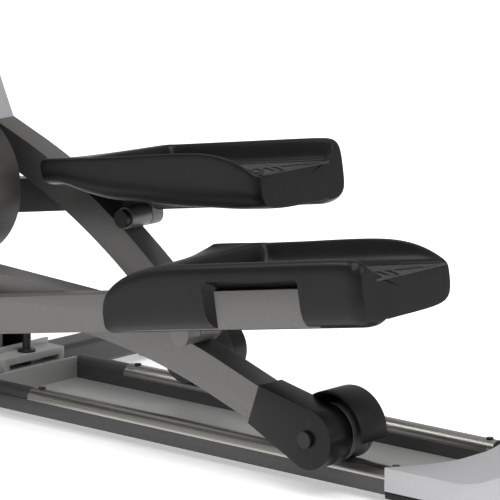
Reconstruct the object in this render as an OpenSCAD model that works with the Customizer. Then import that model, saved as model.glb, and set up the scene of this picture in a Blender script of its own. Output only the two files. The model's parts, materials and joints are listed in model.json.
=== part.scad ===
/* [Frame on the floor] */
// Width across the front and middle floor stabilisers
stabilizer_width = 600; // [520:10:700]
// Height of the stabiliser tubes
stabilizer_h = 40; // [34:1:50]
// Front-to-back size of the stabiliser tubes
stabilizer_d = 50; // [44:1:60]
// Clear height under the stabiliser tubes, filled by the feet
ground_gap = 12; // [8:1:20]
// Place of the front stabiliser, behind the machine's middle
front_stabilizer_x = -735; // [-760:5:-700]
// Place of the middle stabiliser
mid_stabilizer_x = -117; // [-130:1:-110]
// Height of the spine beam
spine_h = 50; // [40:1:60]
// Width of the spine beam
spine_w = 60; // [50:1:70]
// Radius of the two transport wheels
transport_r = 28; // [24:1:30]
// Sideways place of the transport wheels
transport_y = 232; // [200:1:240]

/* [Rails] */
// Sideways distance of each rail from the middle
rail_y = 97; // [90:1:105]
// Radius of the rail sleeve's round back
sleeve_r = 15.4; // [13:0.1:18]
// Wall of the aluminium rail sleeve
sleeve_wall = 1.4; // [1:0.1:2.5]
// Height of the straight part of a rail
rail_side_h = 20; // [16:1:26]
// Front end of the rails and the pan
rail_front_x = -56; // [-60:1:-50]
// Rear end of the rails and the pan
rail_rear_x = 700; // [690:1:760]
// Front end of the rail sleeves
sleeve_front_x = 40; // [0:1:60]
// Distance of a sleeve screw from the sleeve's end
sleeve_screw_in = 14; // [10:1:30]
// Thickness of the pan between the rails
pan_t = 2; // [1:0.1:4]
// Rear end of the rear cap
rear_x = 830; // [800:5:880]
// Half width of the rear cap
rear_cap_half_w = 128; // [120:1:150]
// Height of the rear cap above the floor
rear_cap_h = 53; // [50:1:70]

/* [Cranks and drive] */
// Distance from the crank axle to a crank pin
crank_radius = 223; // [190:1:240]
// Angle of the left crank below level, towards the rear
crank_drop = 39.4; // [30:0.1:45]
// Place of the crank axle along the machine
crank_x = -483; // [-500:1:-480]
// Height of the crank axle
crank_z = 351.5; // [340:0.5:370]
// Radius of the crank axle
crank_axle_r = 12; // [10:0.5:14]
// Inner face of each crank arm from the middle
crank_arm_y = 88; // [86:1:92]
// Thickness of a crank arm
crank_arm_t = 18; // [12:1:20]
// Radius of the large drive pulley
pulley_r = 118; // [100:1:120]
// Radius of the flywheel
flywheel_r = 110; // [90:1:112]
// Radius of the small pulley on the flywheel
small_pulley_r = 22; // [18:1:30]
// Radius of the belt's tensioning wheel
idler_r = 18; // [14:1:20]
// Place of the flywheel ahead of the crank axle
flywheel_ahead = 185; // [180:1:190]
// Drop of the flywheel below the crank axle
flywheel_drop = 51; // [40:1:60]

/* [Roller arms] */
// Width of the roller arm and pedal arm tubes
tube_w = 40; // [34:1:42]
// Height of the roller arm and pedal arm tubes
tube_h = 50; // [42:1:56]
// Corner radius of the tubes
tube_corner = 10; // [6:1:14]
// Wall of the tubes
tube_wall = 2.5; // [2:0.1:4]
// Sideways place of the roller arm's middle
roller_arm_y = 143; // [143:1:146]
// Straight rear length of a roller arm
arm_rear_len = 160; // [120:1:200]
// Radius of the roller arm's long bend
arm_bend_r = 1000; // [600:10:1200]
// Angle of the roller arm's long bend
arm_bend = 16.4; // [8:0.1:20]
// Straight front length of a roller arm
arm_front_len = 474; // [430:1:520]
// Rolling radius of a rail wheel at the bottom of its groove
roll_r = 32.6; // [30:0.1:36]
// Outer radius of a rail wheel
wheel_r = 38.5; // [36:0.5:44]
// Width of a rail wheel
wheel_w = 42; // [38:1:44]
// Radius of the wheel axle bolt
wheel_axle_r = 6; // [5:0.5:8]
// Length of the moulded boot ahead of the wheel axle
boot_len = 96; // [80:1:120]
// Radius of the boot's round end
boot_r = 40; // [36:1:44]
// Wall of the boot over the tube
boot_wall = 3; // [2:0.5:3.5]
// Outer radius of the wheel hood
hood_r = 55; // [50:1:60]
// Wall of the wheel hood
hood_wall = 3.5; // [2:0.5:5]

/* [Pedals] */
// Distance of the pedal pivot ahead of the wheel axle, along the arm
pivot_ahead = 226; // [215:1:255]
// Height of the pedal pivot over the arm's rear axis
pivot_up = 38.5; // [30:0.5:42]
// Radius of the pedal pivot pin
pivot_pin_r = 8; // [6:0.5:10]
// Height of the pedal arm's axis over the pivot
pedal_arm_up = 33; // [30:1:38]
// Sideways place of the pedal arm's middle
pedal_arm_y = 187; // [187:1:190]
// Pedal arm length behind the pivot
pedal_arm_back = 262; // [240:1:300]
// Pedal arm length from the pivot to its bend
pedal_arm_ahead = 340; // [300:1:360]
// Radius of the pedal arm's front bend
pedal_bend_r = 300; // [200:10:400]
// Angle of the pedal arm's front bend
pedal_bend = 12; // [6:1:16]
// Pedal arm length ahead of its bend
pedal_arm_tip = 320; // [280:1:340]
// Heel-up pitch of the left pedal at rest
left_pitch = 9.4; // [6:0.1:14]
// Heel-up pitch of the right pedal at rest
right_pitch = 8.7; // [6:0.1:14]
// Inner side of a pedal from the machine's middle
pedal_inner_y = 31; // [30:1:50]
// Length of the pedal behind the pivot
pedal_back = 352; // [330:1:380]
// Length of the cover's nose ahead of the pivot
nose_len = 93; // [85:1:100]
// Height of the foot platform over the pivot
platform_up = 62; // [60:1:66]
// Height of the pedal's inner wall over the pivot
inner_wall_up = 100; // [90:1:115]
// Height of the pedal's outer wall over the pivot
outer_wall_up = 92; // [85:1:100]
// Thickness of the pedal's side walls
pedal_wall = 6; // [4:1:10]
// Thickness of the ribbed tread pad
tread_t = 5; // [3:1:6]
// Outer skin of the pedal cover over the tube
cover_skin = 5; // [3:0.5:7]
// Front end of the cover's window, behind the pivot
window_front = 104; // [90:1:120]
// Length of the cover's window
window_len = 152; // [120:1:170]

/* [Handlebars and mast] */
// Length of a swing arm from its pivot to its lower pin
swing_len = 830; // [790:5:880]
// Radius of the swing arm tubes
swing_tube_r = 16; // [14:1:18]
// Sideways place of the swing arms
swing_y = 240; // [238:1:250]
// Radius of the swing arms' shaft
swing_shaft_r = 12; // [10:1:14]
// Length of the handle tube above the pivot
handle_len = 330; // [280:5:380]
// Length of the upper handle with its grip
grip_len = 260; // [200:5:300]
// Backward lean of the upper handle
handle_lean = 28; // [10:1:40]
// Radius of the foam grips
grip_r = 20; // [19:1:24]
// Size of the mast along the machine
mast_d = 70; // [60:1:80]
// Width of the mast
mast_w = 50; // [44:1:52]
// Height of the mast's top
mast_top_z = 1390; // [1320:10:1460]
// Width of the console
console_w = 320; // [260:10:360]

/* [Covers] */
// Half width of the drive housing
shroud_half_w = 78; // [74:1:80]
// Half width of the housing's narrow tail
tail_half_w = 28; // [24:1:32]
// Wall of the housing shells
shroud_wall = 3; // [2:0.5:4]
// Rear end of the housing's tail
tail_rear_x = -108; // [-120:1:-90]
// Radius of the tail's end
tail_r = 106; // [90:1:112]
// Height of the middle of the tail's end
tail_z = 290; // [280:1:300]

/* [Fits] */
// Radial clearance of every running fit
running_gap = 0.05; // [0.02:0.01:0.1]
// Clearance between the wheel groove and the rail
rail_gap = 0.3; // [0.3:0.1:1]
// Clearance at the linkage's open pivots
open_gap = 1.5; // [1:0.1:3]
// Clearance between neighbouring covers and frames
cover_gap = 1; // [0.5:0.1:2]

/* [Hidden] */
$fn = 48;
LEFT = -1;
RIGHT = 1;

// Rail and wheel heights
rail_base_z = ground_gap;
dome_z = rail_base_z + rail_side_h;
rail_top_z = dome_z + sleeve_r;
axle_z = rail_top_z + roll_r;
rail_core_r = sleeve_r - sleeve_wall;
pan_z = rail_base_z + 1;
stab_top_z = ground_gap + stabilizer_h;
spine_top_z = stab_top_z + spine_h;
front_x = -rear_x;

// Roller arm: two straights and a long bend, from the wheel axle to the crank pin
arm_run = arm_rear_len + arm_bend_r * sin(arm_bend) + arm_front_len * cos(arm_bend);
arm_fall = arm_bend_r * (1 - cos(arm_bend)) + arm_front_len * sin(arm_bend);
arm_reach = sqrt(arm_run * arm_run + arm_fall * arm_fall);
arm_tilt = atan(arm_fall / arm_run);
function crank_angle(side) = side == LEFT ? -crank_drop : 180 - crank_drop;
function pin_x(side) = crank_x + crank_radius * cos(crank_angle(side));
function pin_z(side) = crank_z + crank_radius * sin(crank_angle(side));
function rise(side) = asin((pin_z(side) - axle_z) / arm_reach);
function axle_x(side) = pin_x(side) + arm_reach * cos(rise(side));
function arm_angle(side) = rise(side) + arm_tilt;

// Pedal pivot, and the pedal arm's path to its front pin
function pivot_x(side) = axle_x(side) - pivot_ahead * cos(arm_angle(side)) + pivot_up * sin(arm_angle(side));
function pivot_z(side) = axle_z + pivot_ahead * sin(arm_angle(side)) + pivot_up * cos(arm_angle(side));
function pitch(side) = side == LEFT ? left_pitch : right_pitch;
tip_x = -(pedal_arm_ahead + pedal_bend_r * sin(pedal_bend) + pedal_arm_tip * cos(pedal_bend));
tip_z = pedal_arm_up + pedal_bend_r * (1 - cos(pedal_bend)) + pedal_arm_tip * sin(pedal_bend);
function lower_x(side) = pivot_x(side) + tip_x * cos(pitch(side)) - tip_z * sin(pitch(side));
function lower_z(side) = pivot_z(side) + tip_x * sin(pitch(side)) + tip_z * cos(pitch(side));

// Swing arm pivot: the one point that is swing_len from both lower pins
half_dx = (lower_x(LEFT) - lower_x(RIGHT)) / 2;
half_dz = (lower_z(LEFT) - lower_z(RIGHT)) / 2;
half_d = sqrt(half_dx * half_dx + half_dz * half_dz);
swing_rise = sqrt(swing_len * swing_len - half_d * half_d);
swing_x = (lower_x(LEFT) + lower_x(RIGHT)) / 2 - swing_rise * half_dz / half_d;
swing_z = (lower_z(LEFT) + lower_z(RIGHT)) / 2 + swing_rise * half_dx / half_d;
function swing_angle(side) = atan((lower_x(side) - swing_x) / (swing_z - lower_z(side)));

// Drive
flywheel_x = crank_x - flywheel_ahead;
flywheel_z = crank_z - flywheel_drop;
flywheel_far = sqrt(flywheel_ahead * flywheel_ahead + flywheel_drop * flywheel_drop);
flywheel_axle_r = 8;
bearing_r = 24;
plate_y = 50;
spine_ahead = 40;
plate_t = 6;
belt_t = 3;
belt_gap = 0.4;
belt_y0 = 9;
belt_y1 = 21;
idler_pin_r = 5;
belt_lean = asin((pulley_r - small_pulley_r) / flywheel_far);
idler_along = 0.55 * flywheel_far;
idler_off = pulley_r - 0.55 * (pulley_r - small_pulley_r) + belt_t + 2 * belt_gap + idler_r;
drive_heading = atan2(-flywheel_drop, -flywheel_ahead);
idler_normal = drive_heading + 90 - belt_lean;
idler_x = crank_x + idler_along * cos(drive_heading) + idler_off * cos(idler_normal);
idler_z = crank_z + idler_along * sin(drive_heading) + idler_off * sin(idler_normal);

// Mast
cap_z = crank_z + pulley_r + belt_t + 12;
cap_t = 6;
mast_x = crank_x + 38;
mast_z = cap_z + cap_t;
mast_lean = atan((swing_x - mast_x) / (swing_z - mast_z));
mast_len = (mast_top_z - mast_z) / cos(mast_lean);

// Sideways faces
wheel_out_y = rail_y + wheel_w / 2;
wheel_in_y = rail_y - wheel_w / 2;
arm_in_y = roller_arm_y - tube_w / 2;
arm_out_y = roller_arm_y + tube_w / 2;
boot_in_y = arm_in_y - 2.2;
boot_out_y = arm_out_y + boot_wall;
hood_in_y = wheel_in_y - 3 - hood_wall;
pedal_arm_in_y = pedal_arm_y - tube_w / 2;
pedal_arm_out_y = pedal_arm_y + tube_w / 2;
cover_out_y = pedal_arm_out_y + cover_skin;
tray_out_y = pedal_arm_in_y + 2;
swing_in_y = swing_y - 18;
swing_out_y = swing_y + 18;

// ---------- shared shapes ----------
module rounded_rect(w, h, r) {
    square([w - 2 * r, h], center = true);
    square([w, h - 2 * r], center = true);
    for (sx = [-1, 1], sy = [-1, 1])
        translate([sx * (w / 2 - r), sy * (h / 2 - r)]) circle(r);
}
module tube_section(w, h, r, wall) {
    difference() {
        rounded_rect(w, h, r);
        rounded_rect(w - 2 * wall, h - 2 * wall, max(r - wall, 1));
    }
}
// Extrudes a section (width along Y, height along Z) towards +X
module along_x(length) rotate([90, 0, 90]) linear_extrude(length) children();
// Extrudes an outline drawn in X and Z between two sideways places
module side_plate(y0, y1) translate([0, max(y0, y1), 0]) rotate([90, 0, 0])
    linear_extrude(abs(y1 - y0)) children();
// Cylinder along Y, given by side and its inner and outer sideways faces
module cross_cylinder(r, y0, y1) side_plate(y0, y1) circle(r);
module on_side(side) if (side == LEFT) mirror([0, 1, 0]) children(); else children();
// Bend that starts at the origin, heads towards -X and turns down
module at_axle(side) translate([axle_x(side), 0, axle_z]) rotate([0, arm_angle(side), 0])
    on_side(side) children();
module at_pedal(side) translate([pivot_x(side), 0, pivot_z(side)]) rotate([0, -pitch(side), 0])
    on_side(side) children();
module at_swing(side) translate([swing_x, 0, swing_z]) rotate([0, -swing_angle(side), 0])
    on_side(side) children();
module at_crank(side) translate([crank_x, 0, crank_z]) rotate([0, -crank_angle(side), 0])
    on_side(side) children();

// ---------- frame on the floor ----------
module stabilizer(x) translate([x, stabilizer_width / 2, ground_gap + stabilizer_h / 2]) rotate([90, 0, 0])
    linear_extrude(stabilizer_width) tube_section(stabilizer_d, stabilizer_h, 8, 2.5);

wheel_fork_x = front_x + transport_r;
wheel_fork_z = transport_r + 4;
fork_t = 4;
fork_gap = 12;
transport_pin_r = 5;
module front_stabilizer() color("dimgray") {
    difference() {
        stabilizer(front_stabilizer_x);
        for (side = [LEFT, RIGHT])
            translate([front_stabilizer_x, side * 30, stab_top_z - 5]) cylinder(r = 5, h = 10);
    }
    for (side = [LEFT, RIGHT], fork = [-1, 1])
        transport_ear(side * transport_y + fork * (fork_gap + fork_t / 2));
}
module transport_ear(y) difference() {
    side_plate(y - fork_t / 2, y + fork_t / 2) {
        translate([wheel_fork_x, wheel_fork_z]) circle(10);
        translate([wheel_fork_x, wheel_fork_z - 10])
            square([front_stabilizer_x - stabilizer_d / 2 - wheel_fork_x, 20]);
    }
    translate([wheel_fork_x, 0, wheel_fork_z]) cross_cylinder(transport_pin_r, y - fork_t, y + fork_t);
}
module stabilizer_caps() color("#222222")
    for (x = [front_stabilizer_x, mid_stabilizer_x], side = [LEFT, RIGHT])
        translate([x, side * stabilizer_width / 2, 0]) rotate([0, 0, side == LEFT ? 180 : 0]) stabilizer_cap();
module stabilizer_cap() {
    translate([0, 30, ground_gap + stabilizer_h / 2]) rotate([90, 0, 0]) linear_extrude(30)
        rounded_rect(stabilizer_d + 6, stabilizer_h + 6, 9);
    translate([0, 10, 0]) cylinder(r = 20, h = ground_gap);
}
module spine_beam() color("dimgray") translate([front_stabilizer_x - spine_ahead, 0, stab_top_z + spine_h / 2])
    along_x(mid_stabilizer_x + stabilizer_d / 2 - front_stabilizer_x + spine_ahead)
        tube_section(spine_w, spine_h, 8, 3);
module mid_stabilizer() color("dimgray") stabilizer(mid_stabilizer_x);

module transport_wheel(side) color("#1c1c1c") translate([wheel_fork_x, side * transport_y, wheel_fork_z])
    rotate([90, 0, 0]) rotate_extrude() difference() {
        translate([transport_pin_r + running_gap, -fork_gap + 1]) square([transport_r - transport_pin_r, 2 * fork_gap - 2]);
        for (s = [-1, 1]) translate([transport_pin_r + 5, s * (fork_gap - 1) - 2]) square([10, 4]);
    }

// ---------- rails, pan and rear end ----------
module rail(side) color("#4a4846") difference() {
    translate([rail_front_x, side * rail_y, 0]) along_x(rail_rear_x - rail_front_x) {
        translate([-sleeve_r, rail_base_z]) square([2 * sleeve_r, rail_side_h]);
        translate([0, dome_z]) circle(rail_core_r);
    }
    for (x = screw_places) translate([x, side * rail_y, dome_z]) cylinder(r = 2.5, h = 2 * sleeve_r);
}
screw_places = [sleeve_front_x + sleeve_screw_in, rail_rear_x - sleeve_screw_in];
module rail_sleeve(side) color("silver") difference() {
    translate([sleeve_front_x, side * rail_y, dome_z]) along_x(rail_rear_x - sleeve_front_x) difference() {
        circle(sleeve_r);
        circle(rail_core_r);
        translate([-2 * sleeve_r, -2 * sleeve_r]) square([4 * sleeve_r, 2 * sleeve_r]);
    }
    for (x = screw_places) translate([x, side * rail_y, rail_top_z - 1.2]) cylinder(r = 5, h = 4);
    for (x = screw_places) translate([x, side * rail_y, dome_z]) cylinder(r = 2.5, h = 2 * sleeve_r);
}
pan_half_w = rail_y - sleeve_r;
wall_h = rail_top_z - pan_z - 2;
bracket_top_z = stab_top_z + 20;
module deck_pan() color("gray") {
    translate([rail_front_x, -pan_half_w, pan_z]) cube([rail_rear_x - rail_front_x, 2 * pan_half_w, pan_t]);
    translate([rail_front_x, -pan_half_w, pan_z]) cube([5, 2 * pan_half_w, wall_h]);
    difference() {
        union() {
            translate([mid_stabilizer_x + stabilizer_d / 2, -60, stab_top_z - 30])
                cube([rail_front_x - mid_stabilizer_x - stabilizer_d / 2, 120, 24]);
            translate([mid_stabilizer_x + stabilizer_d / 2, -60, stab_top_z + 2])
                cube([rail_front_x - mid_stabilizer_x - stabilizer_d / 2, 120, 10]);
            translate([mid_stabilizer_x + stabilizer_d / 2, -60, stab_top_z + 12])
                cube([4, 120, 8]);
            for (y = [-60, 50]) translate([mid_stabilizer_x + stabilizer_d / 2, y, stab_top_z - 30])
                cube([rail_front_x - mid_stabilizer_x - stabilizer_d / 2, 10, 34]);
        }
        translate([deck_bolt_x, 0, 0]) cylinder(r = 6, h = 200);
    }
}
deck_bolt_x = (mid_stabilizer_x + stabilizer_d / 2 + rail_front_x) / 2 + 2;
module frame_screws() color("#333333") {
    for (side = [LEFT, RIGHT], x = screw_places) translate([x, side * rail_y, 0]) {
        translate([0, 0, rail_top_z - 1.2]) cylinder(r = 5, h = 3);
        translate([0, 0, dome_z]) cylinder(r = 2.5, h = sleeve_r - 1.2);
    }
    translate([deck_bolt_x, 0, stab_top_z - 36]) {
        cylinder(r = 6, h = 90);
        translate([0, 0, 48]) cylinder(r = 13, h = 3);
    }
    for (side = [LEFT, RIGHT]) translate([wheel_fork_x, side * transport_y, wheel_fork_z])
        cross_cylinder(transport_pin_r, -fork_gap - fork_t - 3, fork_gap + fork_t + 3);
}
cap_notch_r = 190;
cap_notch_in = 38;
module rear_outline(inset) difference() {
    translate([rail_rear_x - 8 + inset, -rear_cap_half_w + inset])
        square([rear_x - rail_rear_x + 8 - 2 * inset, 2 * rear_cap_half_w - 2 * inset]);
    for (s = [-1, 1]) translate([rear_x - inset, s * (rear_cap_half_w - inset)]) difference() {
        translate([-30, -30]) square(60);
        translate([-30, -s * 30]) circle(30);
        translate([-30, s > 0 ? -90 : 30]) square([60, 60]);
        translate([-90, -90]) square([60, 180]);
    }
}
cap_floor_z = 16;
module rail_envelope(side, grow) translate([0, side * rail_y, 0]) {
    translate([0, -sleeve_r - grow, rail_base_z - 10]) cube([rail_rear_x + grow, 2 * sleeve_r + 2 * grow, rail_side_h + 10]);
    translate([0, 0, dome_z]) along_x(rail_rear_x + grow) circle(sleeve_r + grow);
}
module rear_cap() color("#c9c9cc") difference() {
    translate([0, 0, cap_floor_z + 6]) linear_extrude(rear_cap_h - cap_floor_z - 6) rear_outline(0);
    translate([0, 0, cap_floor_z]) linear_extrude(rear_cap_h - cap_floor_z - 4) difference() {
        rear_outline(4);
        translate([rail_rear_x - 20, -200]) square([20 + 10, 400]);
    }
    for (side = [LEFT, RIGHT]) rail_envelope(side, 0.5);
    translate([rail_rear_x - 20, -pan_half_w, 0]) cube([21, 2 * pan_half_w, dome_z + 6]);
    translate([rail_rear_x + cap_notch_in - cap_notch_r, 0, dome_z + 6]) cylinder(r = cap_notch_r, h = 60, $fn = 96);
}
module rear_cap_base() color("#3b3b3d") difference() {
    translate([0, 0, ground_gap]) linear_extrude(cap_floor_z + 6 - ground_gap) rear_outline(0);
    for (side = [LEFT, RIGHT]) rail_envelope(side, 0);
    translate([rail_rear_x - 20, -pan_half_w, 0]) cube([20, 2 * pan_half_w, 60]);
}
module rear_feet() color("#1c1c1c") for (side = [LEFT, RIGHT])
    translate([rear_x - 60, side * (rear_cap_half_w - 32), 0]) cylinder(r = 22, h = ground_gap);

// ---------- drive inside the housing ----------
base_t = 6;
module plate_outline() polygon([[crank_x - 270, spine_top_z + base_t], [crank_x + 130, spine_top_z + base_t],
    [crank_x + 110, crank_z - 60], [crank_x + 80, cap_z], [crank_x - 40, cap_z], [crank_x - 110, crank_z + 40],
    [crank_x - 240, crank_z + 30], [crank_x - 270, crank_z - 90]]);
module drive_frame() color("#555555") {
    for (side = [LEFT, RIGHT]) side_plate(side * plate_y, side * (plate_y + plate_t)) difference() {
        plate_outline();
        translate([crank_x, crank_z]) circle(bearing_r);
        translate([flywheel_x, flywheel_z]) circle(flywheel_axle_r);
    }
    translate([crank_x - 270, -plate_y - plate_t, spine_top_z]) cube([400, 2 * (plate_y + plate_t), base_t]);
    translate([crank_x - 40, -plate_y - plate_t, cap_z]) cube([120, 2 * (plate_y + plate_t), cap_t]);
    translate([idler_x, 0, idler_z]) cross_cylinder(idler_pin_r, belt_y0 - 4, plate_y);
    translate([idler_x, 0, idler_z]) cross_cylinder(idler_pin_r + 3, belt_y0 - 7, belt_y0 - 4);
}
module crank_bearings() color("silver") for (side = [LEFT, RIGHT])
    translate([crank_x, 0, crank_z]) side_plate(side * (plate_y - 2), side * (plate_y + plate_t + 2)) difference() {
        circle(bearing_r);
        circle(crank_axle_r + running_gap);
    }
module flywheel_axle() color("silver") translate([flywheel_x, 0, flywheel_z])
    cross_cylinder(flywheel_axle_r, -plate_y - plate_t - 4, plate_y + plate_t + 4);
module brake_magnet() color("#7a6a50") translate([flywheel_x, 0, flywheel_z]) {
    rotate([90, 0, 0]) rotate([0, 0, 120]) translate([0, 0, 2]) rotate_extrude(angle = 70)
        translate([flywheel_r + 3, 0]) square([12, plate_y - 2]);
}
module drive_belt() color("#1a1a1a") side_plate(belt_y0, belt_y1) difference() {
    belt_loop(belt_gap + belt_t);
    belt_loop(belt_gap);
}
module belt_loop(grow) hull() {
    translate([crank_x, crank_z]) circle(pulley_r + grow, $fn = 96);
    translate([flywheel_x, flywheel_z]) circle(small_pulley_r + grow, $fn = 64);
}
module crank_axle() color("silver") translate([crank_x, 0, crank_z])
    cross_cylinder(crank_axle_r, -crank_arm_y - crank_arm_t, crank_arm_y + crank_arm_t);
module drive_pulley() color("#3a3a3a") translate([crank_x, 0, crank_z]) difference() {
    union() {
        cross_cylinder(pulley_r, belt_y0, belt_y1);
        cross_cylinder(26, belt_y0 - 16, belt_y1 + 6);
    }
    cross_cylinder(crank_axle_r, -60, 60);
    for (a = [0:60:300]) rotate([0, a, 0]) translate([70, 0, 0]) cross_cylinder(24, 0, 40);
}
pin_stub_r = 11;
module crank_arm(side) color("#8a8a8a") at_crank(side) {
    difference() {
        union() {
            cross_cylinder(28, crank_arm_y, crank_arm_y + crank_arm_t);
            translate([crank_radius, 0, 0]) cross_cylinder(22, crank_arm_y, crank_arm_y + crank_arm_t);
            translate([0, crank_arm_y, -18]) cube([crank_radius, crank_arm_t, 36]);
            translate([crank_radius, 0, 0]) cross_cylinder(pin_stub_r, crank_arm_y + crank_arm_t, arm_in_y - open_gap);
        }
        cross_cylinder(crank_axle_r, crank_arm_y - 5, crank_arm_y + crank_arm_t + 5);
    }
}
module flywheel() color("#2c2c2c") translate([flywheel_x, 0, flywheel_z]) difference() {
    union() {
        difference() {
            cross_cylinder(flywheel_r, -plate_y + 6, -2);
            cross_cylinder(flywheel_r - 24, -plate_y + 5, -plate_y + 16);
        }
        cross_cylinder(22, -plate_y + 8, belt_y0);
        cross_cylinder(small_pulley_r, belt_y0 - 1, belt_y1 + 1);
    }
    cross_cylinder(flywheel_axle_r + running_gap, -80, 80);
}
module idler_wheel() color("#3a3a3a") translate([idler_x, 0, idler_z]) difference() {
    cross_cylinder(idler_r, belt_y0 - 3, belt_y1 + 3);
    cross_cylinder(idler_pin_r + running_gap, 0, 60);
}

// ---------- mast, console and fixed bars ----------
module at_mast() translate([mast_x, 0, mast_z]) rotate([0, mast_lean, 0]) children();
module mast() color("#bcbcc0") difference() {
    at_mast() difference() {
        linear_extrude(mast_len) rounded_rect(mast_d, mast_w, 18);
        translate([0, 0, -1]) linear_extrude(mast_len + 2) rounded_rect(mast_d - 6, mast_w - 6, 15);
    }
    translate([mast_x - 200, -100, mast_z - 100]) cube([400, 200, 100]);
    translate([swing_x, 0, swing_z]) cross_cylinder(swing_shaft_r, -100, 100);
    at_mast() translate([0, 0, bar_up]) cross_cylinder(bar_r, -100, 100);
}
module swing_shaft() color("silver") translate([swing_x, 0, swing_z]) {
    cross_cylinder(swing_shaft_r, -swing_out_y - 4, swing_out_y + 4);
    for (side = [LEFT, RIGHT]) cross_cylinder(swing_shaft_r + 8, side * (mast_w / 2), side * (mast_w / 2 + 20));
    for (side = [LEFT, RIGHT]) cross_cylinder(swing_shaft_r + 6, side * (swing_out_y + 0.5), side * (swing_out_y + 4));
}
bar_up = 730;
bar_r = 14;
bar_half_w = 170;
bar_len = 220;
module fixed_handlebar() color("#8f8f92") at_mast() translate([0, 0, bar_up]) {
    cross_cylinder(bar_r, -bar_half_w, bar_half_w);
    for (side = [LEFT, RIGHT]) translate([0, side * bar_half_w, 0]) {
        rotate([90, 0, 0]) cylinder(r = bar_r + 3, h = 40, center = true);
        rotate([0, 70, 0]) cylinder(r = bar_r, h = bar_len);
    }
}
module pulse_grips() color("#2a2a2a") at_mast() translate([0, 0, bar_up]) for (side = [LEFT, RIGHT])
    translate([0, side * bar_half_w, 0]) rotate([0, 70, 0]) translate([0, 0, 60]) difference() {
        cylinder(r = bar_r + 5, h = bar_len - 40);
        translate([0, 0, -1]) cylinder(r = bar_r, h = bar_len - 59);
    }
console_d = 90;
console_h = 230;
module console_place() at_mast() translate([0, 0, mast_len]) rotate([0, 35, 0]) children();
module console() color("#3a3a3d") difference() {
    console_place() translate([-10, 0, console_h / 2 - 30]) rotate([0, 90, 0])
        linear_extrude(console_d - 30) rounded_rect(console_h, console_w, 30);
    console_place() translate([console_d - 42, -console_w / 2 + 40, 20]) cube([20, console_w - 80, console_h - 90]);
    at_mast() translate([0, 0, -1]) linear_extrude(mast_len + 1) rounded_rect(mast_d + 1, mast_w + 1, 18);
}
module power_inlet() color("#151515") translate([front_stabilizer_x - spine_ahead, 0, stab_top_z + spine_h / 2])
    rotate([0, -90, 0]) difference() {
        union() {
            linear_extrude(4) rounded_rect(spine_h, spine_w, 8);
            cylinder(r = 7, h = 14);
        }
        translate([0, 0, 4]) cylinder(r = 3.2, h = 20);
    }

// ---------- housing shells ----------
body_r = 196;
nose_r = 148;
nose_x = crank_x - 186;
module body_outline(inset) hull() {
    translate([crank_x, crank_z - 20]) circle(body_r - inset, $fn = 96);
    translate([nose_x, crank_z - 58]) circle(nose_r - inset, $fn = 96);
}
module tail_outline(inset) hull() {
    translate([crank_x + 60, crank_z - 30]) circle(126 - inset, $fn = 64);
    translate([tail_rear_x - tail_r, tail_z]) circle(tail_r - inset, $fn = 96);
}
axle_hole_r = crank_axle_r + 10;
module shroud(side) color("#3d3b3a") difference() {
    side_plate(0, side * shroud_half_w) body_outline(0);
    side_plate(side * -1, side * (shroud_half_w - shroud_wall)) body_outline(shroud_wall);
    translate([crank_x, 0, crank_z]) cross_cylinder(axle_hole_r, -200, 200);
    translate([crank_x - 500, -plate_y - plate_t - cover_gap, 0])
        cube([700, 2 * (plate_y + plate_t + cover_gap), spine_top_z + base_t + cover_gap]);
    side_plate(-plate_y - plate_t, plate_y + plate_t) plate_outline();
    translate([0, 0, cap_z]) mast_slot();
}
module tail_cover() color("#3d3b3a") difference() {
    side_plate(-tail_half_w, tail_half_w) tail_outline(0);
    side_plate(-tail_half_w + shroud_wall, tail_half_w - shroud_wall) tail_outline(shroud_wall);
    side_plate(-100, 100) body_outline(0);
}
module mast_slot() translate([mast_x - mast_d / 2 - 8, -mast_w / 2 - cover_gap, 0])
    cube([mast_d + 20, mast_w + 2 * cover_gap, 200]);
top_half_w = 36;
module top_outline(inset) polygon([[crank_x - 70 + inset, crank_z + 40], [tail_rear_x - 20 - 1.5 * inset, crank_z + 40 + inset],
    [tail_rear_x - 40 - inset, tail_z + 144 - inset], [mast_x + mast_d + 30 - inset, swing_z - 130 - inset],
    [mast_x - 30 + inset, swing_z - 130 - inset], [crank_x - 70 + inset, crank_z + 170]]);
module shroud_top() color("#b9b9bd") difference() {
    side_plate(-top_half_w, top_half_w) top_outline(0);
    side_plate(-top_half_w + shroud_wall, top_half_w - shroud_wall) top_outline(shroud_wall);
    side_plate(-100, 100) body_outline(-cover_gap);
    side_plate(-100, 100) tail_outline(-cover_gap);
    at_mast() linear_extrude(mast_len) rounded_rect(mast_d + 2 * cover_gap, mast_w + 2 * cover_gap, 19);
}

// ---------- roller arms ----------
eye_r = 27;
arm_overhang = 26;
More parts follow.
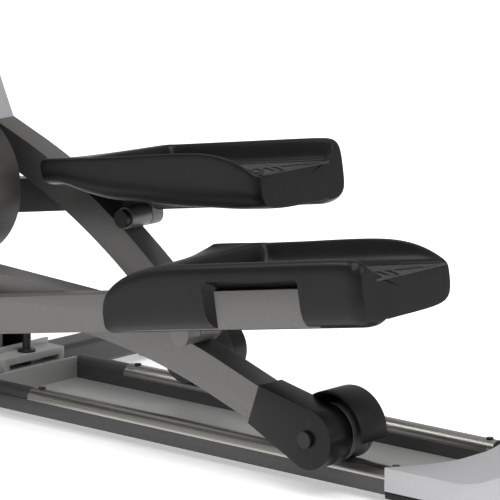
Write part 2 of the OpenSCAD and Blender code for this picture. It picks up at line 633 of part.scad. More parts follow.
// Side view of a tube that comes in straight from +X at the origin, bends down and runs on
bend_steps = 16;
function tube_edge(d, back_len, bend_r, bend, front_len) = concat([[back_len, d]],
    [for (i = [0 : bend_steps]) let (a = bend * i / bend_steps) [-(bend_r + d) * sin(a), (bend_r + d) * cos(a) - bend_r]],
    [[-(bend_r + d) * sin(bend) - front_len * cos(bend), (bend_r + d) * cos(bend) - bend_r - front_len * sin(bend)]]);
function backwards(points) = [for (i = [len(points) - 1 : -1 : 0]) points[i]];
module bent_tube(h, back_len, bend_r, bend, front_len)
    polygon(concat(tube_edge(h / 2, back_len, bend_r, bend, front_len),
        backwards(tube_edge(-h / 2, back_len, bend_r, bend, front_len))));
module roller_arm(side) color("#767472") at_axle(side) difference() {
    side_plate(arm_in_y, arm_out_y) {
        translate([-arm_rear_len, 0]) bent_tube(tube_h, arm_rear_len + arm_overhang, arm_bend_r, arm_bend, arm_front_len);
        translate([-arm_run, -arm_fall]) circle(eye_r);
        translate([-pivot_ahead, pivot_up]) circle(2 * pivot_pin_r);
    }
    translate([-arm_rear_len, roller_arm_y, 0]) along_x(arm_rear_len + 2 * arm_overhang)
        rounded_rect(tube_w - 2 * tube_wall, tube_h - 2 * tube_wall, tube_corner - tube_wall);
    translate([-arm_run, 0, -arm_fall]) cross_cylinder(pin_stub_r + running_gap, arm_in_y - 1, arm_out_y - 3);
    translate([-pivot_ahead, 0, pivot_up]) cross_cylinder(pivot_pin_r + running_gap, arm_in_y - 5, arm_out_y + 5);
    cross_cylinder(wheel_axle_r + running_gap, arm_in_y - 5, arm_out_y + 5);
}
module boot_outline() {
    circle(boot_r);
    polygon([[0, boot_r], [-boot_len, tube_h / 2 + boot_wall], [-boot_len, -tube_h / 2 - boot_wall], [0, -boot_r]]);
}
module arm_boot(side) color("#1d1d1e") at_axle(side) difference() {
    side_plate(boot_in_y, boot_out_y) boot_outline();
    translate([-boot_len - 5, roller_arm_y - tube_w / 2, -tube_h / 2])
        cube([boot_len + 5 + arm_overhang, tube_w, tube_h]);
    cross_cylinder(wheel_axle_r + running_gap, boot_in_y - 5, boot_out_y + 5);
}
hood_low = 6;
module wheel_hood(side) color("#19191a") at_axle(side) difference() {
    union() {
        difference() {
            cross_cylinder(hood_r, hood_in_y, boot_in_y);
            cross_cylinder(hood_r - hood_wall, hood_in_y + hood_wall, boot_in_y + 1);
            rotate([0, -arm_angle(LEFT), 0]) translate([-100, 0, -100 - hood_low]) cube([200, 300, 100]);
        }
        cross_cylinder(18, hood_in_y, hood_in_y + hood_wall);
    }
    cross_cylinder(wheel_axle_r + running_gap, hood_in_y - 5, boot_in_y + 5);
}
module rail_wheel(side) color("#2f2f31") translate([axle_x(side), side * rail_y, axle_z])
    rotate([90, 0, 0]) rotate_extrude() difference() {
        translate([wheel_axle_r + running_gap, -wheel_w / 2]) square([wheel_r - wheel_axle_r, wheel_w]);
        translate([roll_r + sleeve_r, 0]) circle(sleeve_r + rail_gap);
        for (s = [-1, 1]) translate([wheel_axle_r + 6, s * wheel_w / 2 - 4]) square([14, 8]);
    }
module roller_axle(side) color("silver") at_axle(side) {
    cross_cylinder(wheel_axle_r, hood_in_y - 2, boot_out_y + 1);
    cross_cylinder(wheel_axle_r + 5, boot_out_y + 0.5, boot_out_y + 6);
    cross_cylinder(wheel_axle_r + 4, hood_in_y - 7, hood_in_y - 0.5);
}

// ---------- pedals ----------
pin_end_y = pedal_arm_in_y - 1;
module pedal_pin(side) color("silver") at_pedal(side) {
    cross_cylinder(pivot_pin_r, arm_in_y - 3, pin_end_y);
    cross_cylinder(pivot_pin_r + 5, arm_in_y - 9, arm_in_y - 1.5);
}
module pedal_arm_side() {
    translate([-pedal_arm_ahead, pedal_arm_up]) mirror([0, 1])
        bent_tube(tube_h, pedal_arm_ahead + pedal_arm_back, pedal_bend_r, pedal_bend, pedal_arm_tip);
    translate([tip_x, tip_z]) circle(eye_r);
}
module pivot_bracket() {
    circle(2 * pivot_pin_r);
    translate([-2 * pivot_pin_r, 0]) square([4 * pivot_pin_r, pedal_arm_up]);
}
bracket_t = pedal_arm_in_y - arm_out_y - 1;
module pedal_arm(side) color("#767472") at_pedal(side) difference() {
    union() {
        side_plate(pedal_arm_in_y, pedal_arm_out_y) pedal_arm_side();
        side_plate(pedal_arm_in_y - bracket_t, pedal_arm_y) pivot_bracket();
    }
    pedal_arm_bore();
    translate([tip_x, 0, tip_z]) cross_cylinder(pin_stub_r + open_gap, pedal_arm_in_y - 1, pedal_arm_out_y + 1);
    cross_cylinder(pivot_pin_r, pedal_arm_in_y - 10, pin_end_y);
}
module pedal_arm_bore() translate([-pedal_arm_ahead + 10, pedal_arm_y, pedal_arm_up])
    along_x(pedal_arm_ahead + pedal_arm_back) rounded_rect(tube_w - 2 * tube_wall, tube_h - 2 * tube_wall, tube_corner - tube_wall);
cover_low = pedal_arm_up - tube_h / 2 - 3.5;
tube_top_up = pedal_arm_up + tube_h / 2;
module cover_outline() polygon([[-nose_len, cover_low], [-nose_len, cover_low + 38], [-nose_len + 16, tube_top_up - 2],
    [-50, tube_top_up + 8], [-10, tube_top_up + 18], [50, outer_wall_up], [pedal_back - 60, outer_wall_up],
    [pedal_back - 32, outer_wall_up - 12], [pedal_back - 12, platform_up + 2], [pedal_back, platform_up - 18],
    [pedal_back, cover_low + 12], [pedal_back - 12, cover_low]]);
module pedal_cover(side) color("#1f1f20") at_pedal(side) difference() {
    side_plate(tray_out_y, cover_out_y) cover_outline();
    side_plate(pedal_arm_in_y, pedal_arm_out_y) pedal_arm_side();
    side_plate(tray_out_y - 1, pedal_arm_y) pivot_bracket();
    translate([window_front, pedal_arm_out_y - 8, cover_low - 5]) cube([window_len, 40, tube_top_up + 3 - cover_low + 5]);
    translate([-nose_len - 5, tray_out_y - 1, -40]) cube([nose_len + pedal_arm_back + 5, pedal_arm_in_y + 6 - tray_out_y, 40 + pedal_arm_up]);
}
tray_front = 18;
module tray_outline() polygon([[-tray_front, pedal_inner_y + 14], [-tray_front + 14, pedal_inner_y],
    [pedal_back, pedal_inner_y], [pedal_back - 2, tray_out_y], [-48, tray_out_y], [-nose_len + 40, tray_out_y]]);
tray_under = 26;
module tray_side() polygon([[-nose_len, platform_up + 18], [-40, 52], [10, tube_top_up - 4], [60, tray_under + 12], [120, tray_under],
    [pedal_back - 8, tray_under + 4], [pedal_back, tray_under + 12], [pedal_back, inner_wall_up - 30],
    [pedal_back - 30, inner_wall_up - 6], [pedal_back - 60, inner_wall_up], [30, inner_wall_up], [-nose_len, inner_wall_up - 20]]);
under_clear = 58;
module pedal_tray(side) color("#1a1a1b") at_pedal(side) difference() {
    intersection() {
        translate([0, 0, tray_under - 5]) linear_extrude(inner_wall_up) tray_outline();
        side_plate(0, 300) tray_side();
    }
    translate([22, pedal_inner_y + pedal_wall, platform_up])
        cube([pedal_back, tray_out_y - pedal_inner_y - pedal_wall + 1, 80]);
    translate([-nose_len, pedal_inner_y + pedal_wall + 24, tray_under - 30])
        cube([nose_len + pedal_back - pedal_wall, tray_out_y - pedal_inner_y - pedal_wall - 20, under_clear - tray_under + 30]);
}
tread_in = 8;
tread_pitch = 22;
module tread_pad(side) color("#2b2b2c") at_pedal(side) {
    translate([22 + tread_in, pedal_inner_y + pedal_wall + tread_in, platform_up])
        cube([pedal_back - 30 - 2 * tread_in, tray_out_y - pedal_inner_y - pedal_wall - 2 * tread_in, tread_t - 2]);
    for (x = [22 + tread_in : tread_pitch : pedal_back - 60])
        translate([x, pedal_inner_y + pedal_wall + tread_in, platform_up])
            cube([8, tray_out_y - pedal_inner_y - pedal_wall - 2 * tread_in, tread_t]);
}

// ---------- swing arms ----------
hub_r = 23;
elbow_lap = 3;
grip_up = 24;
module at_grip() translate([0, swing_y, handle_len]) rotate([0, handle_lean, 0]) children();
module swing_arm(side) color("#8f8f92") at_swing(side) difference() {
    union() {
        cross_cylinder(hub_r, swing_in_y, swing_out_y);
        translate([0, swing_y, -swing_len]) cylinder(r = swing_tube_r, h = swing_len + handle_len);
        translate([0, 0, -swing_len]) cross_cylinder(hub_r - 3, swing_in_y, swing_out_y);
        translate([0, 0, -swing_len]) cross_cylinder(pin_stub_r, pedal_arm_out_y + open_gap, swing_in_y);
        translate([0, 0, handle_len])
            cross_cylinder(swing_tube_r + elbow_lap, swing_y - swing_tube_r - elbow_lap, swing_y + swing_tube_r + elbow_lap);
        at_grip() cylinder(r = swing_tube_r, h = grip_len);
    }
    cross_cylinder(swing_shaft_r + running_gap, swing_in_y - 5, swing_out_y + 5);
}
module swing_grip(side) color("#222222") at_swing(side) at_grip() translate([0, 0, grip_up]) difference() {
    cylinder(r = grip_r, h = grip_len - grip_up + 6);
    translate([0, 0, -1]) cylinder(r = swing_tube_r, h = grip_len - grip_up + 1);
}

front_stabilizer();
stabilizer_caps();
spine_beam();
mid_stabilizer();
rail(LEFT);  // left_rail
rail(RIGHT);  // right_rail
deck_pan();
rail_sleeve(LEFT);  // left_rail_sleeve
rail_sleeve(RIGHT);  // right_rail_sleeve
frame_screws();
rear_cap();
rear_cap_base();
rear_feet();
drive_frame();
mast();
shroud(LEFT);  // shroud_left
shroud(RIGHT);  // shroud_right
shroud_top();
crank_bearings();
flywheel_axle();
brake_magnet();
swing_shaft();
console();
tail_cover();
fixed_handlebar();
pulse_grips();
power_inlet();
drive_belt();
crank_axle();
drive_pulley();
crank_arm(LEFT);  // left_crank_arm
crank_arm(RIGHT);  // right_crank_arm
flywheel();
idler_wheel();
transport_wheel(LEFT);  // left_transport_wheel
transport_wheel(RIGHT);  // right_transport_wheel
roller_axle(LEFT);  // left_roller_axle
rail_wheel(LEFT);  // left_rail_wheel
roller_arm(LEFT);  // left_roller_arm
arm_boot(LEFT);  // left_arm_boot
wheel_hood(LEFT);  // left_wheel_hood
pedal_pin(LEFT);  // left_pedal_pin
pedal_arm(LEFT);  // left_pedal_arm
pedal_cover(LEFT);  // left_pedal_cover
pedal_tray(LEFT);  // left_pedal_tray
tread_pad(LEFT);  // left_tread_pad
swing_arm(LEFT);  // left_swing_arm
swing_grip(LEFT);  // left_swing_grip
roller_axle(RIGHT);  // right_roller_axle
rail_wheel(RIGHT);  // right_rail_wheel
roller_arm(RIGHT);  // right_roller_arm
arm_boot(RIGHT);  // right_arm_boot
wheel_hood(RIGHT);  // right_wheel_hood
pedal_pin(RIGHT);  // right_pedal_pin
pedal_arm(RIGHT);  // right_pedal_arm
pedal_cover(RIGHT);  // right_pedal_cover
pedal_tray(RIGHT);  // right_pedal_tray
tread_pad(RIGHT);  // right_tread_pad
swing_arm(RIGHT);  // right_swing_arm
swing_grip(RIGHT);  // right_swing_grip
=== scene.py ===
"""Elliptical trainer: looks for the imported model, in metres, in the model's own frame.

-X is the machine's front, -Y its left side and +Z up; the origin is on the floor
under the middle of the machine.
"""
import json
from math import sin, cos, radians, pi, atan2

import bpy
from mathutils import Vector, Matrix


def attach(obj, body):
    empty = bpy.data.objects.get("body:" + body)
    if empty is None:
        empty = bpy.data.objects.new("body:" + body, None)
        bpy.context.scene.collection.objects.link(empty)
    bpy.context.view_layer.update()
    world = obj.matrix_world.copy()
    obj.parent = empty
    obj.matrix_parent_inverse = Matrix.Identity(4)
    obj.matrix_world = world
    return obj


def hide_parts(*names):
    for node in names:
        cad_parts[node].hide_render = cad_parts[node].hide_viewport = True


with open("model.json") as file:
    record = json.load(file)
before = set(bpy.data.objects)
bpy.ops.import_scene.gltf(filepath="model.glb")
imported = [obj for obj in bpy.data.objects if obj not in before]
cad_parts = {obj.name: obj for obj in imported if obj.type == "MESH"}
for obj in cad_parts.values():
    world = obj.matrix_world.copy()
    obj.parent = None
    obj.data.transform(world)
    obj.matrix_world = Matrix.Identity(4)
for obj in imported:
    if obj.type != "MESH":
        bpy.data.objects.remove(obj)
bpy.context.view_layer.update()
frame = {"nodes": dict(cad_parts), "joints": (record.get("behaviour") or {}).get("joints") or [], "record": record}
MM = 0.001
WELD = 0.00002  # m; vertices this close are one
CREASE = 40  # degrees; edges sharper than this stay sharp in shading


# ---------------------------------------------------------------- materials
def linear(hex_colour):
    """Turns an sRGB hex value such as '#767472' into the linear colour that shaders use."""
    parts = [int(hex_colour[i:i + 2], 16) / 255 for i in (1, 3, 5)]
    return tuple(p / 12.92 if p <= 0.04045 else ((p + 0.055) / 1.055) ** 2.4 for p in parts) + (1.0,)


def add(material, kind, links=(), **settings):
    """Adds one node; settings whose name is a socket fill that socket, the rest are node properties."""
    tree = material.node_tree
    node = tree.nodes.new(kind)
    for name, value in settings.items():
        if hasattr(node, name):
            setattr(node, name, value)
    for name, value in settings.items():
        if not hasattr(node, name):
            node.inputs[name.replace("_", " ")].default_value = value
    for source, socket, target in links:
        tree.links.new(source.outputs[socket], node.inputs[target])
    return node


def blank(name):
    """A new material with an empty node tree."""
    material = bpy.data.materials.new(name)
    material.use_nodes = True
    material.node_tree.nodes.clear()
    return material


def finished(material, shader):
    add(material, "ShaderNodeOutputMaterial", [(shader, "BSDF", "Surface")])
    return material


def moulded(name, dark, light, rough, grain_mm, depth_mm, sheen_mm=60, gloss_level=0.5):
    """A moulded plastic or rubber: spark-eroded grain as bump, and slow drifts of tone and gloss."""
    m = blank(name)
    place = add(m, "ShaderNodeTexCoord")
    drift = add(m, "ShaderNodeTexNoise", [(place, "Object", "Vector")], Scale=1 / (sheen_mm * MM), Detail=3.0)
    grain = add(m, "ShaderNodeTexNoise", [(place, "Object", "Vector")], Scale=1 / (grain_mm * MM), Detail=2.0)
    tone = add(m, "ShaderNodeValToRGB", [(drift, "Fac", "Fac")])
    tone.color_ramp.elements[0].color, tone.color_ramp.elements[1].color = linear(dark), linear(light)
    tone.color_ramp.elements[0].position, tone.color_ramp.elements[1].position = 0.35, 0.65
    gloss = add(m, "ShaderNodeMapRange", [(grain, "Fac", "Value")])
    gloss.inputs["To Min"].default_value, gloss.inputs["To Max"].default_value = rough - 0.06, rough + 0.08
    bump = add(m, "ShaderNodeBump", [(grain, "Fac", "Height")], Strength=0.35, Distance=depth_mm * MM)
    shader = add(m, "ShaderNodeBsdfPrincipled",
                 [(tone, "Color", "Base Color"), (gloss, "Result", "Roughness"), (bump, "Normal", "Normal")],
                 IOR=1.5, Specular_IOR_Level=gloss_level)
    return finished(m, shader)


def coated(name, base, fleck, rough, metal, orange_peel_mm=2.2):
    """A sprayed metallic coat on steel: fine flecks, and the slight orange peel of a baked coat."""
    m = blank(name)
    place = add(m, "ShaderNodeTexCoord")
    flecks = add(m, "ShaderNodeTexVoronoi", [(place, "Object", "Vector")], Scale=1 / (0.9 * MM))
    peel = add(m, "ShaderNodeTexNoise", [(place, "Object", "Vector")],
               Scale=1 / (orange_peel_mm * MM), Detail=1.0)
    drift = add(m, "ShaderNodeTexNoise", [(place, "Object", "Vector")], Scale=1 / (120 * MM), Detail=2.0)
    mix = add(m, "ShaderNodeMix", [(flecks, "Distance", "Factor")], data_type="RGBA")
    mix.inputs[6].default_value, mix.inputs[7].default_value = linear(base), linear(fleck)
    gloss = add(m, "ShaderNodeMapRange", [(drift, "Fac", "Value")])
    gloss.inputs["To Min"].default_value, gloss.inputs["To Max"].default_value = rough - 0.07, rough + 0.07
    bump = add(m, "ShaderNodeBump", [(peel, "Fac", "Height")], Strength=0.12, Distance=0.15 * MM)
    shader = add(m, "ShaderNodeBsdfPrincipled",
                 [(mix, 2, "Base Color"), (gloss, "Result", "Roughness"), (bump, "Normal", "Normal")],
                 Metallic=metal)
    return finished(m, shader)


def brushed(name, base, streak, rough, along):
    """Bare metal with the long fine lines of brushing or drawing along one direction."""
    m = blank(name)
    place = add(m, "ShaderNodeTexCoord")
    stretch = add(m, "ShaderNodeMapping", [(place, "Object", "Vector")])
    stretch.inputs["Scale"].default_value = [4.0 if i == along else 900.0 for i in range(3)]
    lines = add(m, "ShaderNodeTexNoise", [(stretch, "Vector", "Vector")], Scale=1.0, Detail=4.0)
    tone = add(m, "ShaderNodeValToRGB", [(lines, "Fac", "Fac")])
    tone.color_ramp.elements[0].color, tone.color_ramp.elements[1].color = linear(base), linear(streak)
    tone.color_ramp.elements[0].position, tone.color_ramp.elements[1].position = 0.3, 0.7
    gloss = add(m, "ShaderNodeMapRange", [(lines, "Fac", "Value")])
    gloss.inputs["To Min"].default_value, gloss.inputs["To Max"].default_value = rough - 0.08, rough + 0.08
    bump = add(m, "ShaderNodeBump", [(lines, "Fac", "Height")], Strength=0.1, Distance=0.05 * MM)
    shader = add(m, "ShaderNodeBsdfPrincipled",
                 [(tone, "Color", "Base Color"), (gloss, "Result", "Roughness"), (bump, "Normal", "Normal")],
                 Metallic=1.0)
    return finished(m, shader)


# Moulded ABS of the pedals and boots: satin black, softly glossy on its rounded edges
pedal_abs = moulded("satin_black_abs", "#09090a", "#0e0e0f", 0.33, 0.9, 0.05, gloss_level=0.2)
# Glass-filled nylon of hoods and end caps: a touch greyer and duller
hood_nylon = moulded("black_glass_filled_nylon", "#0c0c0d", "#131314", 0.40, 1.1, 0.06, gloss_level=0.2)
# Charcoal ABS of the drive housing, eroded to a fine texture
housing_abs = moulded("charcoal_textured_abs", "#2c2a29", "#353331", 0.45, 1.2, 0.08)
# Silver-sprayed ABS of the rear cap and the upper cover
silver_abs = coated("silver_sprayed_abs", "#98989a", "#aeaeb0", 0.34, 0.25)
# Grey metallic powder coat on the roller and pedal arms
arm_coat = coated("warm_grey_metallic_powder_coat", "#525150", "#676665", 0.36, 0.45)
# Darker grey coat on the rails, beams and stabilisers
rail_coat = coated("graphite_powder_coat", "#3c3c3c", "#4b4b4a", 0.40, 0.4)
# Silver coat on mast, handlebars and cranks
mast_coat = coated("silver_powder_coat", "#7f7f81", "#97979a", 0.36, 0.5)
# Drawn aluminium of the rail sleeves, brushed along the rail
sleeve_aluminium = brushed("brushed_anodised_aluminium", "#8f8d89", "#b4b2ae", 0.30, 0)
# Zinc-coated sheet of the pan between the rails, with a fine spangle
pan_sheet = coated("rolled_zinc_coated_sheet", "#8f8f8e", "#a6a6a5", 0.38, 0.3)
# Zinc-plated steel of shafts and bearings
zinc_steel = brushed("zinc_plated_turned_steel", "#b4b5b7", "#d2d3d5", 0.28, 1)
# Black oxide on screws, axles and hinge pins
black_screw = coated("black_oxide_steel", "#1c1c1d", "#2a2a2b", 0.40, 0.6)
# Cast urethane of the wheels: dark grey, matte tread
wheel_urethane = moulded("dark_grey_cast_urethane", "#3c3c3e", "#4a4a4c", 0.42, 1.4, 0.08)
# Rubber of tread pads, belt and feet; dipped foam of the grips
tread_rubber = moulded("moulded_nitrile_rubber", "#1d1d1e", "#29292a", 0.60, 1.6, 0.12)
grip_foam = moulded("dipped_nbr_foam", "#202021", "#2b2b2c", 0.72, 2.4, 0.35)
# Sand-cast iron of the flywheel under a thin paint
flywheel_iron = moulded("painted_grey_cast_iron", "#2a2a2b", "#38383a", 0.50, 2.8, 0.25)
# Copper-tinted magnet steel of the brake
magnet_steel = coated("lacquered_magnet_steel", "#5c4c3a", "#75624a", 0.42, 0.7)

NODE_FINISH = {
    rail_coat: ["front_stabilizer", "spine_beam", "mid_stabilizer", "left_rail", "right_rail", "drive_frame"],
    pan_sheet: ["deck_pan"],
    sleeve_aluminium: ["left_rail_sleeve", "right_rail_sleeve"],
    black_screw: ["frame_screws", "left_roller_axle", "right_roller_axle",
                  "left_pedal_pin", "right_pedal_pin"],
    silver_abs: ["rear_cap", "shroud_top"],
    hood_nylon: ["rear_cap_base", "stabilizer_caps", "power_inlet", "drive_pulley", "idler_wheel",
                 "left_wheel_hood", "right_wheel_hood"],
    pedal_abs: ["left_pedal_tray", "right_pedal_tray", "left_pedal_cover", "right_pedal_cover", "left_arm_boot",
                "right_arm_boot"],
    housing_abs: ["shroud_left", "shroud_right", "tail_cover", "console"],
    arm_coat: ["left_roller_arm", "right_roller_arm", "left_pedal_arm", "right_pedal_arm"],
    mast_coat: ["mast", "fixed_handlebar", "left_swing_arm", "right_swing_arm", "left_crank_arm",
                "right_crank_arm"],
    zinc_steel: ["crank_bearings", "flywheel_axle", "swing_shaft", "crank_axle"],
    magnet_steel: ["brake_magnet"],
    tread_rubber: ["left_tread_pad", "right_tread_pad", "drive_belt", "rear_feet"],
    grip_foam: ["pulse_grips", "left_swing_grip", "right_swing_grip"],
    flywheel_iron: ["flywheel"],
    wheel_urethane: ["left_rail_wheel", "right_rail_wheel", "left_transport_wheel", "right_transport_wheel"],
}
FINISH = {node: material for material, nodes in NODE_FINISH.items() for node in nodes}
BODY = {}
for body_name, nodes in frame["record"]["behaviour"]["bodies"].items():
    for node_name in nodes:
        BODY[node_name] = body_name


# ---------------------------------------------------------------- shared ways of working
def nothing_selected():
    if bpy.context.object and bpy.context.object.mode != "OBJECT":
        bpy.ops.object.mode_set(mode="OBJECT")
    bpy.ops.object.select_all(action="DESELECT")


def only(piece):
    """Selects one piece alone and makes it active."""
    nothing_selected()
    piece.select_set(True)
    bpy.context.view_layer.objects.active = piece


def apply_place(piece):
    only(piece)
    bpy.ops.object.transform_apply(location=True, rotation=True, scale=True)


def modified(piece, kind, **settings):
    """Adds one modifier and applies it."""
    only(piece)
    modifier = piece.modifiers.new(kind.lower(), kind)
    for name, value in settings.items():
        setattr(modifier, name, value)
    bpy.ops.object.modifier_apply(modifier=modifier.name)


def outward(piece):
    """Welds a piece and turns its faces outwards."""
    only(piece)
    bpy.ops.object.mode_set(mode="EDIT")
    bpy.ops.mesh.select_all(action="SELECT")
    bpy.ops.mesh.remove_doubles(threshold=WELD)
    bpy.ops.mesh.normals_make_consistent(inside=False)
    bpy.ops.object.mode_set(mode="OBJECT")


def done(piece, name, material, body, nodes, smooth=CREASE):
    """Names a piece, gives it its finish and ties it to its body and to the nodes it stands for."""
    piece.name = name
    piece.data.name = name
    piece.data.materials.clear()
    piece.data.materials.append(material)
    only(piece)
    bpy.ops.object.shade_smooth_by_angle(angle=radians(smooth))
    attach(piece, body)
    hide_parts(*nodes)
    return piece


def eased(node, width_mm, segments=3, angle=30):
    """A node's own shape with its sharp edges broken, as a press brake, mould or file leaves them."""
    only(frame["nodes"][node])
    bpy.ops.object.duplicate()
    piece = bpy.context.object
    piece.modifiers.clear()
    only(piece)
    bpy.ops.object.mode_set(mode="EDIT")
    bpy.ops.mesh.select_all(action="SELECT")
    bpy.ops.mesh.remove_doubles(threshold=WELD)
    bpy.ops.mesh.dissolve_limited(angle_limit=radians(1.0))
    bpy.ops.object.mode_set(mode="OBJECT")
    modified(piece, "BEVEL", width=width_mm * MM, segments=segments, limit_method="ANGLE",
             angle_limit=radians(angle))
    return done(piece, node + "_finished", FINISH[node], BODY[node], [node])


for node_name, material in FINISH.items():
    part = frame["nodes"][node_name]
    if not part.data.materials:
        part.data.materials.append(material)
    for slot in part.material_slots:
        slot.material = material

# ---------------------------------------------------------------- camera, floor and light
CAMERA_AT = Vector((3.661, -3.759, 1.287))
HEADING, DIP, TILT = radians(41.85), radians(11.41), radians(0.09)
camera_data = bpy.data.cameras.new("camera")
camera = bpy.data.objects.new("camera", camera_data)
bpy.context.collection.objects.link(camera)
back = Vector((sin(HEADING) * cos(DIP), -cos(HEADING) * cos(DIP), sin(DIP)))
right = Vector((cos(HEADING), sin(HEADING), 0))
up = back.cross(right)
turned_right, turned_up = right * cos(TILT) + up * sin(TILT), up * cos(TILT) - right * sin(TILT)
facing = Matrix((turned_right, turned_up, back)).transposed().to_4x4()
camera.matrix_world = Matrix.Translation(CAMERA_AT) @ facing
camera_data.sensor_width = 36
camera_data.lens = 36 * 3815 / 500
camera_data.shift_x, camera_data.shift_y = 0.063, -0.011
camera_data.clip_end = 60
bpy.context.scene.camera = camera

FLOOR_SIZE, FLOOR_GLOW = 24, 0.4
nothing_selected()
bpy.ops.mesh.primitive_plane_add(size=FLOOR_SIZE, location=(0, 0, 0))
floor = bpy.context.object
floor.name = "floor"
floor_paint = moulded("white_studio_floor", "#f4f4f4", "#f7f7f7", 0.6, 40, 0.01, 800)
floor_shader = next(n for n in floor_paint.node_tree.nodes if n.type == "BSDF_PRINCIPLED")
floor_shader.inputs["Emission Color"].default_value = (1, 1, 1, 1)
floor_shader.inputs["Emission Strength"].default_value = FLOOR_GLOW
floor.data.materials.append(floor_paint)


def softbox(name, at, aim, size, watts):
    """A rectangular lamp at one place, facing another."""
    data = bpy.data.lights.new(name, "AREA")
    data.shape, data.size, data.size_y, data.energy = "RECTANGLE", size[0], size[1], watts
    lamp = bpy.data.objects.new(name, data)
    lamp.location = at
    lamp.rotation_euler = (Vector(at) - Vector(aim)).to_track_quat("Z", "Y").to_euler()
    bpy.context.collection.objects.link(lamp)


softbox("near_side", (1.6, -3.2, 2.6), (0.2, 0, 0.2), (1.6, 0.7), 26)
softbox("rear_side", (3.4, 1.2, 1.8), (0.2, 0, 0.3), (0.5, 1.6), 16)
softbox("front_top", (-1.8, -1.2, 3.0), (0.0, 0, 0.3), (1.2, 1.2), 24)
# a wide soft source overhead gives the floor its even white and the machine a faint contact shadow
ceiling_data = bpy.data.lights.new("ceiling", "SUN")
ceiling_data.energy, ceiling_data.angle = 2.3, radians(55)
ceiling = bpy.data.objects.new("ceiling", ceiling_data)
ceiling.rotation_euler = (radians(12), radians(14), 0)
bpy.context.collection.objects.link(ceiling)
world = bpy.data.worlds.new("studio")
world.use_nodes = True
world.node_tree.nodes["Background"].inputs["Color"].default_value = (1, 1, 1, 1)
world.node_tree.nodes["Background"].inputs["Strength"].default_value = 0.5
bpy.context.scene.world = world
bpy.context.scene.view_settings.view_transform = "Standard"

# ---------------------------------------------------------------- joints give the pieces' places
PLACE = {j["name"]: Vector(j["pos_m"]) for j in frame["joints"] if "pos_m" in j}
PITCH = {"left": radians(9.4), "right": radians(8.7)}  # lean of each pedal at rest
OUT = {"left": -1, "right": 1}  # which way y runs outwards


def on_pedal(side):
    """Matrix from a pedal's own millimetres (x back, y outwards, z up, from its hinge pin) to the frame."""
    pivot = PLACE[side + "_pedal_pitch"]
    turn = Matrix.Rotation(-PITCH[side], 4, "Y")
    flip = Matrix.Diagonal((MM, MM * OUT[side], MM, 1))
    return Matrix.Translation((pivot.x, 0, pivot.z)) @ turn @ flip


def moved(piece, matrix):
    """Puts a piece's place into its mesh."""
    piece.data.transform(matrix)
    outward(piece)
    return piece


def profile(table, x):
    """Height at x on the straight runs between the (x, height) pairs of a table."""
    keys = sorted(table)
    if x <= keys[0]:
        return table[keys[0]]
    for a, b in zip(keys, keys[1:]):
        if x <= b:
            t = (x - a) / (b - a)
            return table[a] + (table[b] - table[a]) * t
    return table[keys[-1]]


def lofted(stations, ring):
    """A closed skin from one cylinder: bisected at every station, each loop then set to its section."""
    count = len(ring(stations[0]))
    last = len(stations) - 1
    nothing_selected()
    bpy.ops.mesh.primitive_cylinder_add(vertices=count, radius=1, depth=last, location=(0, 0, last / 2),
                                        end_fill_type="NGON")
    piece = bpy.context.object
    apply_place(piece)
    bpy.ops.object.mode_set(mode="EDIT")
    for k in range(1, last):
        bpy.ops.mesh.select_all(action="SELECT")
        bpy.ops.mesh.bisect(plane_co=(0, 0, k), plane_no=(0, 0, 1))
    bpy.ops.object.mode_set(mode="OBJECT")
    for vertex in piece.data.vertices:
        k = round(vertex.co.z)
        i = round(atan2(vertex.co.y, vertex.co.x) / (2 * pi / count)) % count
        vertex.co = ring(stations[k])[i]
    return piece


def block(low, high, edge, segments=2):
    """A block between two corners with its edges broken, in a piece's own millimetres."""
    nothing_selected()
    centre = [(a + b) / 2 for a, b in zip(low, high)]
    bpy.ops.mesh.primitive_cube_add(size=1, location=centre)
    piece = bpy.context.object
    piece.scale = [b - a for a, b in zip(low, high)]
    apply_place(piece)
    modified(piece, "BEVEL", width=edge, segments=segments, limit_method="ANGLE",
             angle_limit=radians(CREASE))
    return piece


# ---------------------------------------------------------------- pedals
# Heights in mm over the hinge pin, by distance behind it: upper edges of the outer and inner walls,
# then lower edges of the outer wall, inner wall and the underside between them
RIM_OUT = {-103: 50, -101: 60, -92: 69, -72: 80, -45: 88, 4: 95, 60: 95, 296: 95, 330: 94, 342: 92, 349: 87,
           352: 80}
RIM_IN = {-103: 96, -96: 99, -45: 99, 22: 98, 146: 98, 215: 100, 255: 97, 290: 90, 320: 78, 340: 68, 352: 62}
LOW_OUT = {-103: 2.5, 340: 2.5, 352: 9}
LOW_IN = {-103: 58, -45: 54, 75: 28, 105: 29, 155: 19, 270: 12, 352: 13}
LOW_MID = {-103: 54, -90: 60, -62: 63, -30: 54, 10: 38, 60: 27, 250: 24, 300: 14, 352: 12}
PEDAL_ENDS = (-103, 352)
PEDAL_STATIONS = [-104, -103, -101.5, -95, -82, -62, -38, -8, 20, 31, 36, 41, 52, 100, 110, 180, 240, 275,
                  300, 318, 332, 343, 349, 351, 352, 353]
FOOT_DEPTH = 62.0  # height of the foot surface
FOOT_FRONT, FOOT_RAMP = 31, 8  # where the foot surface starts, and the length over which it drops
WALL_OUT, WALL_IN = 219, 31  # how far out the two sides stand
TUCK_FROM, TUCK = 336, 8  # both sides draw in by this much behind this place
SLANT_FROM, SLANT = 250, 10  # the rear edge is pulled forward by this much behind this place
NOSE_BACK = 38  # how far the nose's inner part stands behind its outer part
DRAWN_IN = 0.982  # scale of the extra ring that keeps an end crisp
MIDDLE = (118, 52)  # the point (y, z) that it is drawn in towards


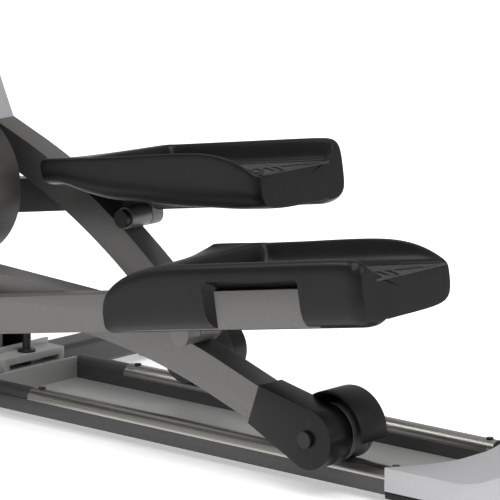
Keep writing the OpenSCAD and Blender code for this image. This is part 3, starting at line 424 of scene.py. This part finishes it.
def pedal_section(station):
    """One cross-section in (x, y, z); a station past an end gives that end again, a little drawn in."""
    x = min(max(station, PEDAL_ENDS[0]), PEDAL_ENDS[1])
    drawn_in = 1.0 if x == station else DRAWN_IN
    out, rim_in = profile(RIM_OUT, x), profile(RIM_IN, x)
    low_out, low_in, low_mid = profile(LOW_OUT, x), profile(LOW_IN, x), profile(LOW_MID, x)
    tuck = max(0.0, (x - TUCK_FROM) / (PEDAL_ENDS[1] - TUCK_FROM)) ** 2 * TUCK
    deep = min(1.0, max(0.0, (x - FOOT_FRONT) / FOOT_RAMP))  # 0 on the nose, 1 over the foot surface

    def floor(y):
        crown = rim_in + (out - rim_in) * (y - 34) / 160
        return crown + (FOOT_DEPTH - crown) * deep

    outer, inner = WALL_OUT - tuck, WALL_IN + tuck
    points = [(outer - 4, low_out), (outer, low_out + 4), (outer, low_out + 0.5 * (out - low_out)),
              (outer, out - 15), (outer - 2.5, out - 6), (outer - 9, out - 0.8), (outer - 17, out),
              (outer - 21, out - 2.5 * deep), (outer - 23, floor(outer - 23) + 9 * deep),
              (outer - 28, floor(outer - 28)), (150, floor(150)), (90, floor(90)),
              (inner + 14, floor(inner + 14)),
              (inner + 8, floor(inner + 8) + 8 * deep), (inner + 6.5, rim_in - 4 * deep), (inner + 4, rim_in),
              (inner + 1, rim_in - 1.5), (inner, rim_in - 6), (inner, low_in + 8), (inner + 3, low_in),
              (inner + 26, low_in + 0.3 * (low_mid - low_in)), (120, low_mid), (162, low_mid),
              (167, low_mid - 1), (170, low_out + 6), (174, low_out)]
    points = [(MIDDLE[0] + (y - MIDDLE[0]) * drawn_in, MIDDLE[1] + (z - MIDDLE[1]) * drawn_in)
              for y, z in points]
    nose = max(0.0, x / PEDAL_ENDS[0])
    rear = max(0.0, (x - SLANT_FROM) / (PEDAL_ENDS[1] - SLANT_FROM)) ** 2
    return [(x + NOSE_BACK * nose * min(1.0, max(0.0, (166 - y) / 14)) - SLANT * rear, y, z)
            for y, z in points]


def pedal_shell(side):
    """The moulded cover and tray of one pedal, in one skin, with a window in its side over the tube."""
    shell = lofted(PEDAL_STATIONS, pedal_section)
    outward(shell)
    modified(shell, "SUBSURF", levels=2)
    # side window: cut down to the tube, with a wide lead-in at its front and top
    window = block((94, 192, -20), (243, 230, 59), 8, 4)
    for vertex in window.data.vertices:
        spread = max(0.0, (vertex.co.y - 211) / 6)
        if vertex.co.x < 180:
            vertex.co.x -= 9 * min(spread, 2)
        if vertex.co.z > 20:
            vertex.co.z += 8 * min(spread, 2)
    outward(window)
    only(shell)
    cut = shell.modifiers.new("window", "BOOLEAN")
    cut.operation, cut.object, cut.solver = "DIFFERENCE", window, "EXACT"
    bpy.ops.object.modifier_apply(modifier="window")
    bpy.data.objects.remove(window)
    moved(shell, on_pedal(side))
    return done(shell, side + "_pedal_shell", pedal_abs, side + "_pedal",
                [side + "_pedal_cover", side + "_pedal_tray"], 50)


BAR_PAIRS, BAR_STEP, BAR_LEAN, BAR_EDGE = 12, 19.5, 38, 0.9  # crossing bars of the tread


def tread(side):
    """A slab of rubber with a diamond of raised bars that grip the shoe."""
    pad = block((50, 44, 61), (343, 183, 64.5), 1.2)
    bars = []
    for k in range(BAR_PAIRS):
        for lean in (-1, 1):
            bar = block((-62, -2.2, 63.5), (62, 2.2, 67.2), BAR_EDGE)
            bar.data.transform(Matrix.Rotation(radians(lean * BAR_LEAN), 4, "Z"))
            bar.data.transform(Matrix.Translation((92 + k * BAR_STEP, 113, 0)))
            bars.append(bar)
    for y in (48, 175):
        bars.append(block((54, y, 63.5), (339, y + 4, 66.8), BAR_EDGE))
    nothing_selected()
    for bar in bars:
        bar.select_set(True)
    pad.select_set(True)
    bpy.context.view_layer.objects.active = pad
    bpy.ops.object.join()
    moved(pad, on_pedal(side))
    return done(pad, side + "_tread", tread_rubber, side + "_pedal", [side + "_tread_pad"])


for side in ("left", "right"):
    pedal_shell(side)
    tread(side)

# ---------------------------------------------------------------- nodes with broken edges
# width of the broken edge in mm, its segments, and the least angle that is broken
SIDE_EDGES = {"roller_arm": (7, 4), "pedal_arm": (7, 4), "arm_boot": (5, 4), "wheel_hood": (1.6, 3),
              "rail_wheel": (1.2, 3), "crank_arm": (3, 3), "rail": (2, 3), "transport_wheel": (1.5, 2),
              "swing_grip": (4, 3)}
SIDE_ANGLE = 40
for side in ("left", "right"):
    for part_name, (width, segments) in SIDE_EDGES.items():
        eased(side + "_" + part_name, width, segments, SIDE_ANGLE)
EDGES = {"rear_cap": 6, "rear_cap_base": 2, "stabilizer_caps": 5, "console": 8, "front_stabilizer": 2,
         "mid_stabilizer": 3, "spine_beam": 2, "pulse_grips": 3, "frame_screws": 0.8, "deck_pan": 0.6,
         "shroud_top": 6, "shroud_left": 5, "shroud_right": 5, "tail_cover": 8, "rear_feet": 2}
for node_name, width in EDGES.items():
    eased(node_name, width)
